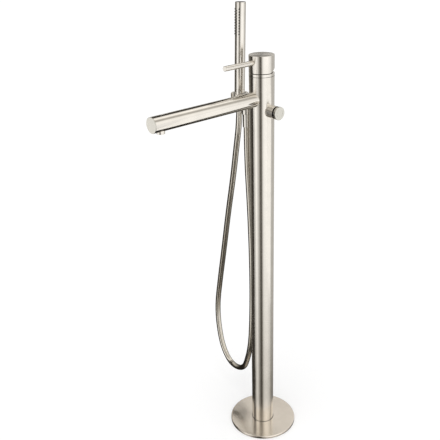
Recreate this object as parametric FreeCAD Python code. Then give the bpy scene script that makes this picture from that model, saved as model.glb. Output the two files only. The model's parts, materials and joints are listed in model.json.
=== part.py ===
"""Floor standing bath filler: column, spout, single-lever mixer, diverter, hand shower and hose.

Frame: millimetres, +Z up, the origin on the floor at the column's axis.
The spout and the lever point to -Y, the diverter knob to +X and the hand shower's holder to -X.
"""
import FreeCAD, Part
import math
import os

V = FreeCAD.Vector

# ---- Driving dimensions -------------------------------------------------------------------

CONTACT = 0.05            # radial play between two fixed pieces that fit together
RUNNING = 0.05            # radial play of a turning or sliding fit
SOFT_GAP = 0.3            # gap between a piece that lifts out and its seat

# Column and floor plate
COLUMN_OD = 54.0
COLUMN_WALL = 1.5
COVER_OD = 165.0
COVER_HEIGHT = 6.0
COVER_SKIN = 1.5
COVER_EDGE_RADIUS = 2.2
SEAL_WIDTH = 0.9
FLANGE_OD = 140.0
FLANGE_THICKNESS = 4.0
BOSS_HEIGHT = 70.0
BOSS_WALL = 3.0
BOSS_PLAY = 0.1
BOLT_CIRCLE = 110.0
BOLT_HOLE_RADIUS = 4.5
BOLT_COUNT = 4
COUNTERSINK_DEPTH = 1.4
SET_SCREW_RADIUS = 3.0
SET_SCREW_LENGTH = 7.0
SET_SCREW_HEIGHT = 32.0
SET_SCREW_ANGLES = (55.0, 125.0)

# Supply inside the column
SUPPLY_X = 10.0
SUPPLY_BACK = 15.815      # the rearmost corner of the pipe nuts, clear of the set screws
PIPE_OD = 12.0
PIPE_WALL = 1.0
INLET_THREAD_RADIUS = 7.475
INLET_THREAD_LENGTH = 12.0
INLET_RADIUS = 9.4
INLET_SHOULDER_RADIUS = 9.9
INLET_SHOULDER_HEIGHT = 3.0
INLET_BODY_HEIGHT = 24.0
STUB_WALL = 1.5
STUB_LENGTH = 12.0
WATERWAY_RADIUS = 4.0
PIPE_NUT_SIDE = 1.0       # least wall outside the thread, at the flats
PIPE_NUT_HEIGHT = 12.0
PIPE_NUT_WALL = 4.0

# Handle
HANDLE_TOP = 945.0
HANDLE_HEIGHT = 35.5
HANDLE_GAP = 1.5
HANDLE_EDGE_RADIUS = 0.7
HANDLE_TILT = 22.0
RELIEF_SLOPE = 24.0       # slope of the cut under the back of the handle
TRIM_HEIGHT = 6.5
PIVOT_BELOW_TRIM = 3.0
DOME_RADIUS = 23.5
DOME_WALL = 1.5
DOME_HOLE_RADIUS = 13.5
DOME_PLAY = 1.0
LEVER_RADIUS = 5.3
LEVER_REACH = 101.0
LEVER_BELOW_TOP = 14.3
LEVER_SOCKET = 10.0
STEM_RADIUS = 4.0
STEM_BALL_RADIUS = 3.0
STEM_BALL_DROP = 12.0
STEM_SOCKET = 9.5
AXLE_RADIUS = 1.5
GRUB_RADIUS = 2.5
GRUB_LENGTH = 8.0
PLUG_LENGTH = 3.0

# Cartridge and valve body
CARTRIDGE_RADIUS = 17.5
CARTRIDGE_DEPTH = 37.0    # from the top of the trim ring to the seat's floor
CARTRIDGE_SEAT_GAP = 0.6
CARTRIDGE_BASE = 3.9
DISC_THICKNESS = 3.5
FIXED_DISC_RADIUS = 14.8
MOVING_DISC_RADIUS = 10.5
DISC_GAP = 0.1
DRIVER_RADIUS = 5.5
DRIVER_HEIGHT = 11.9
DRIVER_PLAY = 0.25
HOUSING_WALL = 1.5
HOUSING_SHOULDER = 3.0
NECK_RADIUS = 14.2
CARRIER_RADIUS = 12.7
CARRIER_PLAY = 0.08
CARRIER_FLANGE = 3.8
NUT_RADIUS = 19.4
VALVE_PLAY = 1.5          # radial room between the valve body and the column
VALVE_HEIGHT = 89.0
VALVE_BELOW_TRIM = 11.0
PORT_X = 8.0
PORT_Y = 9.0
PORT_RADIUS = 3.0
MIXED_X = -2.0
MIXED_Y = 1.0
MIXED_RADIUS = 3.5
O_RING = 1.2

# Spout
SPOUT_BELOW_TOP = 91.0    # from the handle's top to the spout's axis
SPOUT_OD = 32.0
SPOUT_WALL = 1.5
SPOUT_REACH = 284.0
SPOUT_END_THICKNESS = 2.0
AERATOR_SETBACK = 21.0
AERATOR_RADIUS = 8.2
AERATOR_DROP = 4.3
AERATOR_HEIGHT = 12.0
NIPPLE_RADIUS = 9.95
NIPPLE_COLLAR_LENGTH = 24.0
NIPPLE_BORE = 7.0

# Diverter
DIVERTER_BELOW_SPOUT = 24.0
DIVERTER_TRAVEL = 8.0
COLLAR_RADIUS = 13.5
COLLAR_LENGTH = 17.8      # outside the column
KNOB_RADIUS = 14.0
KNOB_GAP = 3.8
KNOB_LENGTH = 5.6
KNOB_SCREW_RADIUS = 1.25
BONNET_RADIUS = 9.0
SPINDLE_RADIUS = 3.0
CHAMBER_RADIUS = 7.0
SPRING_RADIUS = 4.9
SPRING_WIRE = 0.5
SPRING_TURNS = 6
SPRING_SPARE = 4.6        # left of the spring's travel when the knob is pulled

# Holder, hose and hand shower
ARM_BELOW_SPOUT = 13.0
ARM_RADIUS = 11.0
ARM_NIPPLE_RADIUS = 7.0
CRADLE_X = -70.0
CRADLE_ABOVE_ARM = 12.0
CRADLE_HEIGHT = 19.0
CRADLE_WALL = 5.45
CRADLE_LIP = 1.5          # the ledge under the liner
LINER_THICKNESS = 2.65
SLOT_PLAY = 1.6           # how much wider than the hose the cradle's slot is
OUTLET_X = -45.0
OUTLET_Y = -3.0
OUTLET_THREAD_RADIUS = 10.45
OUTLET_BELOW_ARM = 15.0
OUTLET_SPIGOT_RADIUS = 7.0
HOSE_NUT_RADIUS = 12.0
HOSE_NUT_HEIGHT = 13.5
FERRULE_RADIUS = 8.75
FERRULE_LENGTH = 30.0     # below the nut
FERRULE_FLANGE_RADIUS = 10.2
HOSE_BORE_RADIUS = 5.0
HOSE_OD = 14.0
HANDSET_TILT = 2.0        # the hand shower leans back this many degrees in its cradle
HANDSET_RADIUS = 11.4
HANDSET_WALL = 1.25
THREAD_DEPTH = 1.9        # from the hand shower's skin to its thread
HANDSET_BOTTOM = 9.0      # heights along the hand shower count from the cradle's top
HANDSET_TOP = 190.0
CONE_HOLD = 1.0           # of the hose still in the cone nut when the hand shower is lifted
CONE_BOTTOM_RADIUS = 9.5
CONE_TOP = 5.5
LIFT_TRAVEL = 40.0
NOZZLE_ROWS = 10
NOZZLE_COLUMNS = (-35.0, 0.0, 35.0)
NOZZLE_PITCH = 5.6
NOZZLE_FIRST = 125.7
NOZZLE_RADIUS = 1.45
NOZZLE_PROUD = 0.9

# The hose's route, from its ferrule under the holder's arm down, round and up into the cone nut
HOSE_ROUTE = [
    (-45, -3, 782), (-45, -3, 704), (-44, 2, 604), (-43, 5, 502), (-43, 7, 392),
    (-45, 7, 289), (-50, 7, 208), (-62, 8, 155), (-84, 11, 104), (-134, 14, 91),
    (-172, 17, 124), (-189, 18, 188), (-193, 18, 253), (-178, 17, 334), (-155, 14, 443),
    (-132, 10, 548), (-107, 6, 644), (-86, 1, 727), (-70, -2.2, 790), (-70, 0, 852.5),
]

# ---- Heights and radii that follow ----------------------------------------------------------

COLUMN_R = COLUMN_OD / 2
COLUMN_BORE = COLUMN_R - COLUMN_WALL
SADDLE = COLUMN_R + CONTACT
BOSS_R = COLUMN_BORE - BOSS_PLAY
STUB_RADIUS = PIPE_OD / 2 + STUB_WALL
PIPE_NUT_FLATS = 2 * (STUB_RADIUS + PIPE_NUT_SIDE)
SUPPLY_Y = SUPPLY_BACK - PIPE_NUT_FLATS / math.sqrt(3)

HANDLE_BOTTOM = HANDLE_TOP - HANDLE_HEIGHT
TRIM_TOP = HANDLE_BOTTOM - HANDLE_GAP
TRIM_BOTTOM = TRIM_TOP - TRIM_HEIGHT
PIVOT = TRIM_TOP - PIVOT_BELOW_TRIM
CAVITY_RADIUS = DOME_RADIUS + DOME_PLAY
LEVER_HEIGHT = HANDLE_TOP - LEVER_BELOW_TOP
STEM_TOP = PIVOT + CAVITY_RADIUS + STEM_SOCKET
BALL_HEIGHT = PIVOT - STEM_BALL_DROP

VALVE_RADIUS = COLUMN_BORE - VALVE_PLAY
VALVE_TOP = TRIM_TOP - VALVE_BELOW_TRIM
VALVE_BOTTOM = VALVE_TOP - VALVE_HEIGHT
SEAT_FLOOR = TRIM_TOP - CARTRIDGE_DEPTH
BASE_BOTTOM = SEAT_FLOOR + CARTRIDGE_SEAT_GAP
BASE_TOP = BASE_BOTTOM + CARTRIDGE_BASE
FIXED_DISC_TOP = BASE_TOP + DISC_THICKNESS
MOVING_DISC_BOTTOM = FIXED_DISC_TOP + DISC_GAP
MOVING_DISC_TOP = MOVING_DISC_BOTTOM + DISC_THICKNESS
DRIVER_TOP = MOVING_DISC_TOP + DRIVER_HEIGHT
CARRIER_BOTTOM = MOVING_DISC_TOP + 1.4
CARRIER_FLANGE_TOP = CARRIER_BOTTOM + CARRIER_FLANGE
SHOULDER_BOTTOM = CARRIER_FLANGE_TOP + 0.2
SHOULDER_TOP = SHOULDER_BOTTOM + HOUSING_SHOULDER
NECK_TOP = TRIM_TOP - 5.0
NUT_TOP = TRIM_TOP - 3.0
CARRIER_TOP = TRIM_TOP + 1.0
DISC_TRAVEL = STEM_BALL_DROP * math.radians(HANDLE_TILT)

SPOUT_HEIGHT = HANDLE_TOP - SPOUT_BELOW_TOP
SPOUT_R = SPOUT_OD / 2
SPOUT_BORE = SPOUT_R - SPOUT_WALL
AERATOR_Y = -(SPOUT_REACH - AERATOR_SETBACK)
DIVERTER_HEIGHT = SPOUT_HEIGHT - DIVERTER_BELOW_SPOUT
COLLAR_END = COLUMN_R + COLLAR_LENGTH
KNOB_START = COLLAR_END + KNOB_GAP
KNOB_END = KNOB_START + KNOB_LENGTH
KNOB_SCREW_X = (KNOB_START + KNOB_END) / 2
ARM_HEIGHT = SPOUT_HEIGHT - ARM_BELOW_SPOUT
CRADLE_BORE = HANDSET_RADIUS + LINER_THICKNESS
CRADLE_RADIUS = CRADLE_BORE + CRADLE_WALL
CRADLE_SLOT = HOSE_OD + SLOT_PLAY
CRADLE_TOP = ARM_HEIGHT + CRADLE_ABOVE_ARM
CRADLE_BOTTOM = CRADLE_TOP - CRADLE_HEIGHT
OUTLET_BOTTOM = ARM_HEIGHT - OUTLET_BELOW_ARM
OUTLET_SPIGOT_TOP = CRADLE_BOTTOM - 0.1
HOSE_R = HOSE_OD / 2
NUT_BOTTOM = OUTLET_BOTTOM - 0.5 - HOSE_NUT_HEIGHT
FERRULE_BOTTOM = NUT_BOTTOM - FERRULE_LENGTH
THREAD_RADIUS = HANDSET_RADIUS - THREAD_DEPTH
CONE_BOTTOM = -(LIFT_TRAVEL + CONE_HOLD)


# ---- Shape helpers --------------------------------------------------------------------------

def cyl(radius, z0, z1, x=0.0, y=0.0):
    """A cylinder that stands along Z."""
    return Part.makeCylinder(radius, z1 - z0, V(x, y, z0))


def xcyl(radius, x0, x1, y, z):
    """A cylinder along X."""
    return Part.makeCylinder(radius, x1 - x0, V(x0, y, z), V(1, 0, 0))


def ycyl(radius, y0, y1, x, z):
    """A cylinder along Y."""
    return Part.makeCylinder(radius, y1 - y0, V(x, y0, z), V(0, 1, 0))


def between(radius, start, end):
    """A cylinder from one point to another."""
    a, b = V(*start), V(*end)
    return Part.makeCylinder(radius, (b - a).Length, a, b - a)


def tube(outer, inner, z0, z1, x=0.0, y=0.0):
    return cyl(outer, z0, z1, x, y).cut(cyl(inner, z0 - 1, z1 + 1, x, y))


def box(x0, x1, y0, y1, z0, z1):
    return Part.makeBox(x1 - x0, y1 - y0, z1 - z0, V(x0, y0, z0))


def cone(r0, r1, z0, z1, x=0.0, y=0.0):
    return Part.makeCone(r0, r1, z1 - z0, V(x, y, z0))


def ring(radius, thickness, centre, axis=V(0, 0, 1)):
    """An O-ring: its middle radius and the radius of its section."""
    return Part.makeTorus(radius, thickness, V(*centre), axis)


def hex_bar(flats, z0, z1, x=0.0, y=0.0):
    """A hexagonal bar with two of its flats square to X."""
    corner = flats / math.sqrt(3)
    points = []
    for k in range(7):
        angle = math.radians(60 * k + 30)
        points.append(V(x + corner * math.cos(angle), y + corner * math.sin(angle), z0))
    return Part.Face(Part.makePolygon(points)).extrude(V(0, 0, z1 - z0))


def fuse(*shapes):
    whole = shapes[0]
    for shape in shapes[1:]:
        whole = whole.fuse(shape)
    return whole.removeSplitter()


def cut(shape, *tools):
    for tool in tools:
        shape = shape.cut(tool)
    return shape


def round_edges(shape, radius, wanted):
    """Rounds the edges for which wanted(edge) is true."""
    return shape.makeFillet(radius, [edge for edge in shape.Edges if wanted(edge)])


def circle_at(radius, axis, place):
    """Picks whole circles of one radius that lie at one place along an axis."""
    def wanted(edge):
        curve = edge.Curve
        if not isinstance(curve, Part.Circle):
            return False
        return abs(curve.Radius - radius) < 0.02 and abs(curve.Center.dot(axis) - place) < 0.02
    return wanted


def save(name, *solids):
    """Writes one piece, or a group of identical pieces, as one STEP file."""
    shape = solids[0] if len(solids) == 1 else Part.makeCompound(list(solids))
    for solid in shape.Solids:
        if not solid.isValid():
            print("not valid:", name)
    if len(shape.Solids) != len(solids):
        print("solids:", name, len(shape.Solids), "for", len(solids))
    shape.exportStep("parts/" + name + ".step")


# ---- Floor plate and column -----------------------------------------------------------------

def floor_flange():
    flange = cyl(FLANGE_OD / 2, 0, FLANGE_THICKNESS)
    for k in range(BOLT_COUNT):
        angle = math.radians(45 + 360 / BOLT_COUNT * k)
        x = BOLT_CIRCLE / 2 * math.cos(angle)
        y = BOLT_CIRCLE / 2 * math.sin(angle)
        sink = FLANGE_THICKNESS - COUNTERSINK_DEPTH
        wide = BOLT_HOLE_RADIUS + COUNTERSINK_DEPTH
        flange = cut(flange, cyl(BOLT_HOLE_RADIUS, -1, FLANGE_THICKNESS + 1, x, y),
                     cone(BOLT_HOLE_RADIUS, wide, sink, FLANGE_THICKNESS, x, y))
    for side in (-1, 1):
        flange = cut(flange, cyl(INLET_RADIUS + CONTACT, -1, FLANGE_THICKNESS + 1,
                                 side * SUPPLY_X, SUPPLY_Y))
    return flange


def column_boss():
    """The spigot welded on the flange, which the column slides over."""
    boss = tube(BOSS_R, BOSS_R - BOSS_WALL, FLANGE_THICKNESS, FLANGE_THICKNESS + BOSS_HEIGHT)
    return cut(boss, *[set_screw_bore(angle) for angle in SET_SCREW_ANGLES])


def set_screw(angle, radius, inner, outer):
    a = math.radians(angle)
    start = (inner * math.cos(a), inner * math.sin(a), SET_SCREW_HEIGHT)
    end = (outer * math.cos(a), outer * math.sin(a), SET_SCREW_HEIGHT)
    return between(radius, start, end)


def set_screw_bore(angle):
    return set_screw(angle, SET_SCREW_RADIUS + CONTACT, COLUMN_BORE - 12, COLUMN_R + 2)


def set_screws():
    outer = COLUMN_R - 0.4
    screws = []
    for angle in SET_SCREW_ANGLES:
        screw = set_screw(angle, SET_SCREW_RADIUS, outer - SET_SCREW_LENGTH, outer)
        socket = set_screw(angle, 1.5, outer - 2.5, outer + 1)
        screws.append(screw.cut(socket))
    return screws


def base_cover():
    cover = cyl(COVER_OD / 2, 0, COVER_HEIGHT)
    cover = round_edges(cover, COVER_EDGE_RADIUS,
                        circle_at(COVER_OD / 2, V(0, 0, 1), COVER_HEIGHT))
    hollow = cyl(COVER_OD / 2 - COVER_EDGE_RADIUS, -1, COVER_HEIGHT - COVER_SKIN)
    hole = cyl(SADDLE + SEAL_WIDTH, -1, COVER_HEIGHT + 1)
    return cut(cover, hollow, hole)


def cover_seal():
    return tube(SADDLE + SEAL_WIDTH - CONTACT, SADDLE, FLANGE_THICKNESS + 0.1, COVER_HEIGHT)


def column_tube():
    column = tube(COLUMN_R, COLUMN_BORE, FLANGE_THICKNESS, TRIM_BOTTOM)
    spout_hole = ycyl(NIPPLE_RADIUS + SOFT_GAP, -COLUMN_R - 1, 0, 0, SPOUT_HEIGHT)
    diverter_hole = xcyl(BONNET_RADIUS + SOFT_GAP, 0, COLUMN_R + 1, 0, DIVERTER_HEIGHT)
    arm_hole = xcyl(ARM_NIPPLE_RADIUS + SOFT_GAP, -COLUMN_R - 1, 0, 0, ARM_HEIGHT)
    column = cut(column, spout_hole, diverter_hole, arm_hole)
    for angle in SET_SCREW_ANGLES:
        column = cut(column, set_screw_bore(angle))
    return column


# ---- Supply ---------------------------------------------------------------------------------

def inlet_connector(side):
    x, y = side * SUPPLY_X, SUPPLY_Y
    socket = INLET_BODY_HEIGHT - 2
    top = INLET_BODY_HEIGHT + STUB_LENGTH
    body = fuse(cyl(INLET_RADIUS, 0, INLET_BODY_HEIGHT, x, y),
                cyl(INLET_SHOULDER_RADIUS, FLANGE_THICKNESS,
                    FLANGE_THICKNESS + INLET_SHOULDER_HEIGHT, x, y),
                cyl(STUB_RADIUS, INLET_BODY_HEIGHT, top, x, y))
    return cut(body, cyl(INLET_THREAD_RADIUS, -1, INLET_THREAD_LENGTH, x, y),
               cyl(WATERWAY_RADIUS, 0, top + 1, x, y),
               cyl(PIPE_OD / 2 + CONTACT, socket, top + 1, x, y))


def supply_pipes():
    """The hot and the cold pipe, from the inlets up to the valve body."""
    bottom = INLET_BODY_HEIGHT - 2 + 0.1
    top = VALVE_BOTTOM - 0.1
    inner = PIPE_OD / 2 - PIPE_WALL
    return [tube(PIPE_OD / 2, inner, bottom, top, side * SUPPLY_X, SUPPLY_Y) for side in (-1, 1)]


def pipe_nuts():
    """Two compression nuts on the inlets and two under the valve body."""
    nuts = []
    thread = STUB_RADIUS + CONTACT
    passing = PIPE_OD / 2 + CONTACT
    stub_top = INLET_BODY_HEIGHT + STUB_LENGTH
    low = stub_top + PIPE_NUT_WALL - PIPE_NUT_HEIGHT
    stub_bottom = VALVE_BOTTOM - STUB_LENGTH
    high = stub_bottom - PIPE_NUT_WALL
    for side in (-1, 1):
        x, y = side * SUPPLY_X, SUPPLY_Y
        lower = hex_bar(PIPE_NUT_FLATS, low, low + PIPE_NUT_HEIGHT, x, y)
        nuts.append(cut(lower, cyl(thread, low - 1, stub_top, x, y),
                        cyl(passing, low, low + PIPE_NUT_HEIGHT + 1, x, y)))
        upper = hex_bar(PIPE_NUT_FLATS, high, high + PIPE_NUT_HEIGHT, x, y)
        nuts.append(cut(upper, cyl(thread, stub_bottom, high + PIPE_NUT_HEIGHT + 1, x, y),
                        cyl(passing, high - 1, high + PIPE_NUT_HEIGHT, x, y)))
    return nuts


# ---- Valve body and cartridge ---------------------------------------------------------------

BODY_RING_HEIGHTS = (VALVE_BOTTOM + 5.0, VALVE_BOTTOM + 76.0)
CROSS_HEIGHT = VALVE_BOTTOM + 8.0
RISER_Y = 14.5
SPOUT_RISER = (7.0, -7.0)
SEAT_X = -12.0            # the diverter's seat


def valve_body():
    body = cyl(VALVE_RADIUS, VALVE_BOTTOM, VALVE_TOP)
    stub_bottom = VALVE_BOTTOM - STUB_LENGTH
    for side in (-1, 1):
        body = body.fuse(cyl(STUB_RADIUS, stub_bottom, VALVE_BOTTOM, side * SUPPLY_X, SUPPLY_Y))
    body = body.removeSplitter()
    body = cut(body, cyl(CARTRIDGE_RADIUS + 0.5, SEAT_FLOOR, VALVE_TOP + 1),
               cyl(NUT_RADIUS + 0.1, SHOULDER_BOTTOM, VALVE_TOP + 1))
    for side in (-1, 1):
        x = side * SUPPLY_X
        riser_top = SEAT_FLOOR - 28
        body = cut(body, cyl(PIPE_OD / 2 + CONTACT, stub_bottom - 1, VALVE_BOTTOM, x, SUPPLY_Y),
                   cyl(WATERWAY_RADIUS, stub_bottom, CROSS_HEIGHT, x, SUPPLY_Y),
                   ycyl(WATERWAY_RADIUS, SUPPLY_Y, RISER_Y, x, CROSS_HEIGHT),
                   cyl(WATERWAY_RADIUS, CROSS_HEIGHT, riser_top, x, RISER_Y),
                   between(PORT_RADIUS, (x, RISER_Y, riser_top - 2),
                           (side * PORT_X, PORT_Y, SEAT_FLOOR + 1)))
    body = cut(body, xcyl(CHAMBER_RADIUS, SEAT_X, 16.5, 0, DIVERTER_HEIGHT),
               xcyl(BONNET_RADIUS + CONTACT, 16, VALVE_RADIUS + 1, 0, DIVERTER_HEIGHT),
               xcyl(4.5, -19, SEAT_X + 1, 0, DIVERTER_HEIGHT),
               xcyl(ARM_NIPPLE_RADIUS + CONTACT, -VALVE_RADIUS - 1, -17, 0, ARM_HEIGHT),
               cyl(MIXED_RADIUS, DIVERTER_HEIGHT, SEAT_FLOOR + 1, MIXED_X, MIXED_Y),
               cyl(MIXED_RADIUS, DIVERTER_HEIGHT, SPOUT_HEIGHT, *SPOUT_RISER),
               ycyl(NIPPLE_BORE, -VALVE_RADIUS, -5.5, 0, SPOUT_HEIGHT),
               ycyl(NIPPLE_RADIUS + CONTACT, -VALVE_RADIUS - 1, -15, 0, SPOUT_HEIGHT))
    for height in BODY_RING_HEIGHTS:
        body = cut(body, tube(VALVE_RADIUS + 1, VALVE_RADIUS - 1, height - 1.3, height + 1.3))
    return body


def body_rings():
    """Two rubber rings that centre the valve body in the column."""
    return [ring(COLUMN_BORE - O_RING - CONTACT, O_RING, (0, 0, z)) for z in BODY_RING_HEIGHTS]


def port_places():
    return ((-PORT_X, PORT_Y, PORT_RADIUS), (PORT_X, PORT_Y, PORT_RADIUS),
            (MIXED_X, MIXED_Y, MIXED_RADIUS))


def cartridge_base():
    base = cyl(CARTRIDGE_RADIUS, BASE_BOTTOM, BASE_TOP)
    for x, y, radius in port_places():
        base = cut(base, cyl(radius, BASE_BOTTOM - 1, BASE_TOP + 1, x, y),
                   cyl(radius + 1.3, BASE_BOTTOM - 1, BASE_BOTTOM + 1, x, y))
    return base


def cartridge_seals():
    """Three rubber washers between the cartridge and the valve body's seat."""
    low = SEAT_FLOOR + CONTACT
    high = BASE_BOTTOM + 1 - CONTACT
    return [tube(radius + 1.2, radius + 0.1, low, high, x, y) for x, y, radius in port_places()]


def fixed_disc():
    disc = cyl(FIXED_DISC_RADIUS, BASE_TOP, FIXED_DISC_TOP)
    for x, y, radius in port_places():
        disc = cut(disc, cyl(radius, BASE_TOP - 1, FIXED_DISC_TOP + 1, x, y))
    return disc


def moving_disc():
    disc = cyl(MOVING_DISC_RADIUS, MOVING_DISC_BOTTOM, MOVING_DISC_TOP)
    return disc.cut(cyl(7.5, MOVING_DISC_BOTTOM - 1, MOVING_DISC_BOTTOM + 1.6))


def disc_driver():
    """The block on the moving disc with the pocket for the stem's ball."""
    driver = cyl(DRIVER_RADIUS, MOVING_DISC_TOP, DRIVER_TOP)
    floor = BALL_HEIGHT - STEM_BALL_RADIUS - 0.3
    return driver.cut(cyl(STEM_BALL_RADIUS + DRIVER_PLAY, floor, DRIVER_TOP + 1))


def cartridge_housing():
    bore = CARTRIDGE_RADIUS - HOUSING_WALL
    housing = fuse(cyl(CARTRIDGE_RADIUS, BASE_TOP, SHOULDER_TOP),
                   cyl(NECK_RADIUS, SHOULDER_TOP, NECK_TOP))
    return cut(housing, cyl(bore, BASE_TOP - 1, SHOULDER_BOTTOM),
               cyl(CARRIER_RADIUS + CARRIER_PLAY, BASE_TOP, NECK_TOP + 1))


def cartridge_carrier():
    """The guide that turns with the handle and carries the stem's axle."""
    body = fuse(cyl(CARRIER_RADIUS, CARRIER_BOTTOM, CARRIER_TOP),
                cyl(NECK_RADIUS + 0.8, CARRIER_BOTTOM, CARRIER_FLANGE_TOP))
    room = DRIVER_RADIUS + 0.4
    way = DISC_TRAVEL + 0.4
    ceiling = DRIVER_TOP + 0.6
    body = cut(body, cyl(room, CARRIER_BOTTOM - 1, ceiling),
               cyl(room, CARRIER_BOTTOM - 1, ceiling, 0, -way),
               box(-room, room, -way, 0, CARRIER_BOTTOM - 1, ceiling))
    slot = STEM_RADIUS + 0.5
    body = cut(body, box(-slot, slot, -slot - 4, slot + 3, CARRIER_BOTTOM, CARRIER_TOP + 1),
               xcyl(AXLE_RADIUS + CONTACT, -20, 20, 0, PIVOT))
    return body


def stem_axle():
    end = math.sqrt(CARRIER_RADIUS ** 2 - AXLE_RADIUS ** 2) - 0.3
    return xcyl(AXLE_RADIUS, -end, end, 0, PIVOT)


def cartridge_stem():
    neck = 2.4
    stem = fuse(cyl(STEM_RADIUS, PIVOT - 4.5, STEM_TOP - 0.3),
                cone(neck, STEM_RADIUS, PIVOT - 6.5, PIVOT - 4.5),
                cyl(neck, BALL_HEIGHT, PIVOT - 6.5),
                Part.makeSphere(STEM_BALL_RADIUS, V(0, 0, BALL_HEIGHT)))
    return stem.cut(xcyl(AXLE_RADIUS + RUNNING, -10, 10, 0, PIVOT))


def retaining_nut():
    nut = tube(NUT_RADIUS, NECK_RADIUS + 0.2, SHOULDER_TOP + CONTACT, NUT_TOP)
    for angle in (0, 90):
        notch = box(-NUT_RADIUS - 1, NUT_RADIUS + 1, -2.5, 2.5, NUT_TOP - 2, NUT_TOP + 1)
        notch.rotate(V(0, 0, 0), V(0, 0, 1), angle)
        nut = nut.cut(notch)
    return nut


def trim_ring():
    top = round_edges(cyl(COLUMN_R, TRIM_BOTTOM, TRIM_TOP), 0.35,
                      circle_at(COLUMN_R, V(0, 0, 1), TRIM_TOP))
    spigot = cyl(COLUMN_BORE - 0.1, VALVE_TOP - 4, TRIM_BOTTOM)
    whole = fuse(top, spigot)
    return cut(whole, cyl(VALVE_RADIUS + 0.15, VALVE_TOP - 5, TRIM_BOTTOM),
               cyl(NUT_RADIUS + 1.2, VALVE_TOP - 5, TRIM_TOP + 1))


def dome_cover():
    """The fixed dome under the handle: a spherical shell round the stem's pivot, with a skirt."""
    floor = TRIM_TOP + 0.1
    skirt = NUT_RADIUS + 0.15
    centre = V(0, 0, PIVOT)
    below = cyl(DOME_RADIUS + 2, PIVOT - DOME_RADIUS - 1, floor)
    shell = Part.makeSphere(DOME_RADIUS, centre).cut(below)
    inner = Part.makeSphere(DOME_RADIUS - DOME_WALL, centre)
    inner = inner.cut(cyl(DOME_RADIUS + 2, PIVOT - DOME_RADIUS - 1, floor + DOME_WALL))
    shell = cut(shell, inner, cyl(DOME_HOLE_RADIUS, PIVOT, HANDLE_TOP),
                cyl(skirt, PIVOT, floor + DOME_WALL + 1))
    return fuse(shell, tube(skirt + 0.9, skirt, NUT_TOP - 4, floor + DOME_WALL / 2))


# ---- Handle ---------------------------------------------------------------------------------

def handle_cap():
    cap = cyl(COLUMN_R, HANDLE_BOTTOM, HANDLE_TOP)
    cap = round_edges(cap, HANDLE_EDGE_RADIUS, circle_at(COLUMN_R, V(0, 0, 1), HANDLE_TOP))
    relief = box(-COLUMN_R - 5, COLUMN_R + 5, 0, 2 * COLUMN_R, -COLUMN_R, 0)
    relief.rotate(V(0, 0, 0), V(1, 0, 0), RELIEF_SLOPE)
    relief.translate(V(0, 0, HANDLE_BOTTOM))
    cap = cut(cap, relief, Part.makeSphere(CAVITY_RADIUS, V(0, 0, PIVOT)))
    return cut(cap, cyl(STEM_RADIUS + CONTACT, PIVOT, STEM_TOP),
               ycyl(LEVER_RADIUS + CONTACT, -COLUMN_R - 1, -COLUMN_R + LEVER_SOCKET, 0,
                    LEVER_HEIGHT),
               ycyl(GRUB_RADIUS + CONTACT, 0, COLUMN_R + 1, 0, STEM_TOP - 4.5))


def lever_rod():
    rod = ycyl(LEVER_RADIUS, -LEVER_REACH, -COLUMN_R + LEVER_SOCKET - 0.1, 0, LEVER_HEIGHT)
    return round_edges(rod, 0.6, circle_at(LEVER_RADIUS, V(0, 1, 0), -LEVER_REACH))


def handle_grub_screw():
    start = STEM_RADIUS + 0.1
    end = start + GRUB_LENGTH
    height = STEM_TOP - 4.5
    return ycyl(GRUB_RADIUS, start, end, 0, height).cut(ycyl(1.3, end - 3, end + 1, 0, height))


def handle_plug():
    """The blank plug over the grub screw's hole, at the back of the handle."""
    plug = ycyl(GRUB_RADIUS, COLUMN_R - 0.2 - PLUG_LENGTH, COLUMN_R - 0.2, 0, STEM_TOP - 4.5)
    return round_edges(plug, 0.4, circle_at(GRUB_RADIUS, V(0, 1, 0), COLUMN_R - 0.2))


# ---- Spout ----------------------------------------------------------------------------------

def spout_tube():
    end = -SPOUT_REACH + SPOUT_END_THICKNESS
    outer = ycyl(SPOUT_R, end, 0, 0, SPOUT_HEIGHT)
    inner = ycyl(SPOUT_BORE, end - 1, 1, 0, SPOUT_HEIGHT)
    hole = cyl(AERATOR_RADIUS + CONTACT, SPOUT_HEIGHT - SPOUT_R - 1, SPOUT_HEIGHT, 0, AERATOR_Y)
    column = cyl(SADDLE, SPOUT_HEIGHT - SPOUT_OD, SPOUT_HEIGHT + SPOUT_OD)
    return cut(outer, inner, hole, column)


def spout_end():
    disc = ycyl(SPOUT_R, -SPOUT_REACH, -SPOUT_REACH + SPOUT_END_THICKNESS, 0, SPOUT_HEIGHT)
    disc = round_edges(disc, 0.5, circle_at(SPOUT_R, V(0, 1, 0), -SPOUT_REACH))
    spigot = ycyl(SPOUT_BORE - CONTACT, -SPOUT_REACH + 1, -SPOUT_REACH + 5, 0, SPOUT_HEIGHT)
    return disc.fuse(spigot).removeSplitter()


NIPPLE_COLLAR_START = -(COLUMN_R + 8.0)
SPOUT_RING_PLACES = (NIPPLE_COLLAR_START - 7.0, NIPPLE_COLLAR_START - 16.0)
SPOUT_RING = 1.0


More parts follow.
